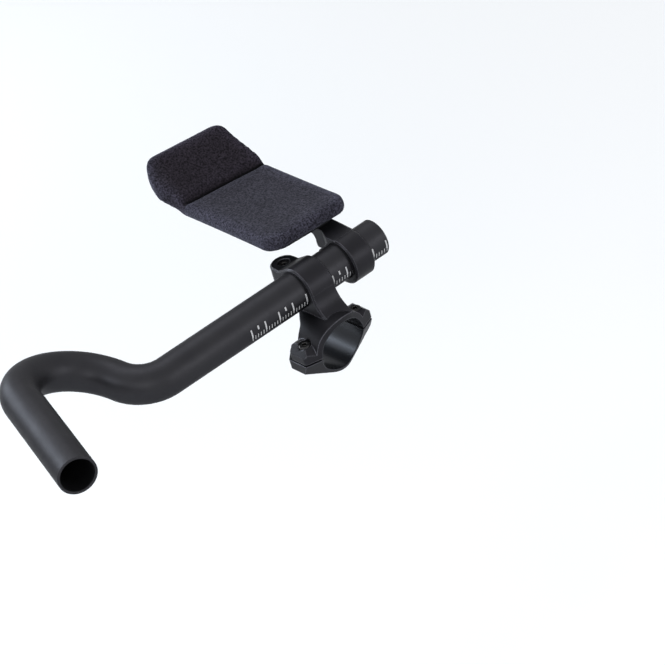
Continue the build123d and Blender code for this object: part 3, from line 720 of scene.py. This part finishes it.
places = points_of(pad.data)
normals = normals_of(pad.data)
from_point = places - np.array(FOLD_POINT)
beside = from_point @ np.array(FOLD_ACROSS)
within = np.clip((from_point @ np.array(FOLD_ALONG) - SEAM_END) / SEAM_FADE, 0.0, 1.0)
upward = np.clip((normals[:, 2] - UP_FROM) / UP_FADE, 0.0, 1.0)
sink = SEAM_DEPTH * within * upward * np.exp(-((beside / SEAM_HALF) ** 2))
put_points(pad.data, places - np.outer(sink, SEAM_DOWN))
bulge = ((places - averaged(pad.data, places, STRETCH_PASSES)) * normals).sum(1)
stored = pad.data.attributes.new("bulge", "FLOAT", "POINT")
stored.data.foreach_set("value", (bulge / MM).astype(np.float32))
print("bulge in mm:", [round(float(np.percentile(bulge, p)) / MM, 2) for p in (1, 25, 50, 75, 90, 99)])

# %% Finish the pad
pad.data.polygons.foreach_set("use_smooth", np.ones(len(pad.data.polygons), bool))
pad.data.materials.clear()
pad.data.materials.append(pad_cloth)
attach(pad, "armrest")
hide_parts("arm_pad")
places = points_of(pad.data)
print("pad box in mm:", [[round(float(x) / MM, 1) for x in c] for c in (places.min(0), places.max(0))])

# %% [markdown]
# ## The printed scale
# White marks along the inboard side of the tube show how far it is pushed through the clamp: a long mark
# every ten millimetres, faint short ones every two, and a small one half way in every other gap. One
# Geometry Nodes tree makes a row of marks: a thin slab is bent round the tube and set on the points of a
# line. The three rows use the same tree with other sizes.

# %% Inputs of the tree
MARK_SIZES = {"Count": "NodeSocketInt", "Start": "NodeSocketFloat", "Spacing": "NodeSocketFloat",
              "Width": "NodeSocketFloat", "Top": "NodeSocketFloat", "Bottom": "NodeSocketFloat",
              "Ink": "NodeSocketMaterial"}

marks = bpy.data.node_groups.new("tube_marks", "GeometryNodeTree")
mark_sizes = {}
for name, kind in MARK_SIZES.items():
    mark_sizes[name] = marks.interface.new_socket(name, in_out="INPUT", socket_type=kind).identifier
marks.interface.new_socket("Geometry", in_out="OUTPUT", socket_type="NodeSocketGeometry")
given = add_node(marks, "NodeGroupInput")
print("mark tree inputs:", list(mark_sizes))

# %% One mark, bent round the tube
TUBE_R = 0.0111
INK = 0.00004
SLAB_POINTS = 9


def calc(operation, first, second):
    """Output of a math node on sockets or plain numbers."""
    step = add_node(marks, "ShaderNodeMath", operation=operation)
    for socket, value in zip(step.inputs, (first, second)):
        if isinstance(value, float):
            socket.default_value = value
        else:
            link(marks, value, socket)
    return step.outputs[0]


slab = add_node(marks, "GeometryNodeMeshCube")
slab.inputs["Size"].default_value = (1.0, 1.0, 1.0)
slab.inputs["Vertices Y"].default_value = SLAB_POINTS
where = add_node(marks, "ShaderNodeSeparateXYZ")
link(marks, add_node(marks, "GeometryNodeInputPosition").outputs[0], where.inputs[0])
share = calc("ADD", where.outputs["Y"], 0.5)
span = calc("SUBTRACT", given.outputs["Top"], given.outputs["Bottom"])
turn = calc("ADD", given.outputs["Bottom"], calc("MULTIPLY", share, span))
reach = calc("ADD", calc("MULTIPLY", where.outputs["Z"], INK), TUBE_R + INK / 4)
bent = add_node(marks, "ShaderNodeCombineXYZ")
link(marks, calc("MULTIPLY", reach, calc("COSINE", turn, 0.0)), bent.inputs["X"])
link(marks, calc("MULTIPLY", where.outputs["X"], given.outputs["Width"]), bent.inputs["Y"])
link(marks, calc("MULTIPLY", reach, calc("SINE", turn, 0.0)), bent.inputs["Z"])
wrap = add_node(marks, "GeometryNodeSetPosition")
link(marks, slab.outputs["Mesh"], wrap.inputs["Geometry"])
link(marks, bent.outputs[0], wrap.inputs["Position"])
print("nodes for one mark:", len(marks.nodes))

# %% Marks in a row along the tube
TUBE_X = -0.016
TUBE_Z = 0.0315

first_mark = add_node(marks, "ShaderNodeCombineXYZ", X=TUBE_X, Z=TUBE_Z)
link(marks, given.outputs["Start"], first_mark.inputs["Y"])
gap = add_node(marks, "ShaderNodeCombineXYZ")
link(marks, given.outputs["Spacing"], gap.inputs["Y"])
line = add_node(marks, "GeometryNodeMeshLine", mode="OFFSET")
link(marks, given.outputs["Count"], line.inputs["Count"])
link(marks, first_mark.outputs[0], line.inputs["Start Location"])
link(marks, gap.outputs[0], line.inputs["Offset"])
copies = add_node(marks, "GeometryNodeInstanceOnPoints")
link(marks, line.outputs["Mesh"], copies.inputs["Points"])
link(marks, wrap.outputs["Geometry"], copies.inputs["Instance"])
real = add_node(marks, "GeometryNodeRealizeInstances")
link(marks, copies.outputs["Instances"], real.inputs["Geometry"])
paint = add_node(marks, "GeometryNodeSetMaterial")
link(marks, real.outputs["Geometry"], paint.inputs["Geometry"])
link(marks, given.outputs["Ink"], paint.inputs["Material"])
link(marks, paint.outputs["Geometry"], add_node(marks, "NodeGroupOutput").inputs["Geometry"])
print("nodes for a row:", len(marks.nodes))

# %% The three rows
SCALE_START = -0.0466
ROWS = (  # name, count, first mark after the start, spacing, width, and the ends in degrees round the tube
    ("scale_tens", 11, 0.0, 0.010, 0.0009, 11.0, -17.0),
    ("scale_halves", 5, 0.005, 0.020, 0.0010, 12.0, 0.0),
    ("scale_twos", 51, 0.0, 0.002, 0.00045, -12.5, -28.0),
)
for name, count, first, spacing, width, upper, lower in ROWS:
    row = add_object(name, bpy.data.meshes.new(name))
    maker = row.modifiers.new("marks", "NODES")
    maker.node_group = marks
    values = {"Count": count, "Start": SCALE_START + first, "Spacing": spacing, "Width": width,
              "Top": math.radians(upper), "Bottom": math.radians(lower), "Ink": white_ink}
    for key, value in values.items():
        maker[mark_sizes[key]] = value
    settle(row)
    row.data.name = name
    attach(row, "extension")
    print(name, "faces:", len(row.data.polygons))
